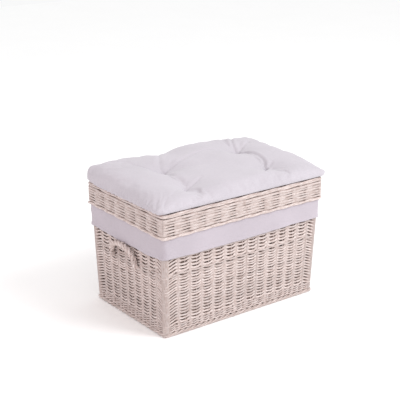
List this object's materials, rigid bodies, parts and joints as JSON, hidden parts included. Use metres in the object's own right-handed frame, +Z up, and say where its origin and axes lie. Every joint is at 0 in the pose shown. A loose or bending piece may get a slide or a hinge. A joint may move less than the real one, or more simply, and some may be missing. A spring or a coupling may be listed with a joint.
{
  "type": "lidded wicker laundry chest",
  "caption": "Rectangular whitewashed willow laundry chest with a hinged woven lid, tufted seat cushion, cotton liner turned over the rim and twisted bow handles on its ends.",
  "frame": {"origin": "middle of the chest on the floor that it stands on", "axes": "+Z up, +X along the length between the two handles, +Y to the hinged back"},
  "size_m": [0.621, 0.4, 0.4381],
  "materials": {
    "willow_weave": "whitewashed peeled willow rods, matt",
    "willow_border": "whitewashed thicker willow rods, matt",
    "willow_stake": "whitewashed willow sticks, matt",
    "willow_skein": "split willow skein, matt",
    "liner_cotton": "plain-woven white cotton",
    "cushion_cotton": "plain-woven white cotton over padding",
    "tuft_thread": "white cotton thread"
  },
  "bodies": {
    "basket": {"lower_weave_front": "willow_weave", "upper_weave_front": "willow_weave", "stakes_and_border_front": "willow_border", "lower_weave_right": "willow_weave", "upper_weave_right": "willow_weave", "stakes_and_border_right": "willow_border", "lower_weave_back": "willow_weave", "upper_weave_back": "willow_weave", "stakes_and_border_back": "willow_border", "lower_weave_left": "willow_weave", "upper_weave_left": "willow_weave", "stakes_and_border_left": "willow_border", "foot_border": "willow_border", "foot_wale": "willow_weave", "mid_wale": "willow_weave", "corner_post_front_left": "willow_stake", "corner_post_front_right": "willow_stake", "corner_post_back_right": "willow_stake", "corner_post_back_left": "willow_stake", "base_weave": "willow_weave", "base_stick_1": "willow_stake", "base_stick_2": "willow_stake", "base_stick_3": "willow_stake", "base_stick_4": "willow_stake", "base_stick_5": "willow_stake", "liner_bag": "liner_cotton", "liner_cuff": "liner_cotton", "hinge_loop_left": "willow_skein", "hinge_loop_right": "willow_skein", "handle_left": "willow_border", "handle_right": "willow_border"},
    "lid": {"lid_weave_front": "willow_weave", "lid_weave_right": "willow_weave", "lid_weave_back": "willow_weave", "lid_weave_left": "willow_weave", "lid_post_front_left": "willow_stake", "lid_post_front_right": "willow_stake", "lid_post_back_right": "willow_stake", "lid_post_back_left": "willow_stake", "lid_edge": "willow_border", "lid_top_weave": "willow_weave", "lid_stick_1": "willow_stake", "lid_stick_2": "willow_stake", "lid_stick_3": "willow_stake", "lid_stick_4": "willow_stake", "lid_stick_5": "willow_stake", "lid_border": "willow_border", "lid_hinge_rod": "willow_stake", "cushion": "cushion_cotton", "tuft_tie_1": "tuft_thread", "tuft_tie_2": "tuft_thread", "tuft_tie_3": "tuft_thread", "tuft_tie_4": "tuft_thread"}
  },
  "joints": [
    {"name": "lid_hinge", "type": "hinge", "parent": "basket", "child": "lid", "pos_m": [0, 0.1925, 0.3163], "axis": [-1, 0, 0], "range_deg": [0, 110]}
  ]
}
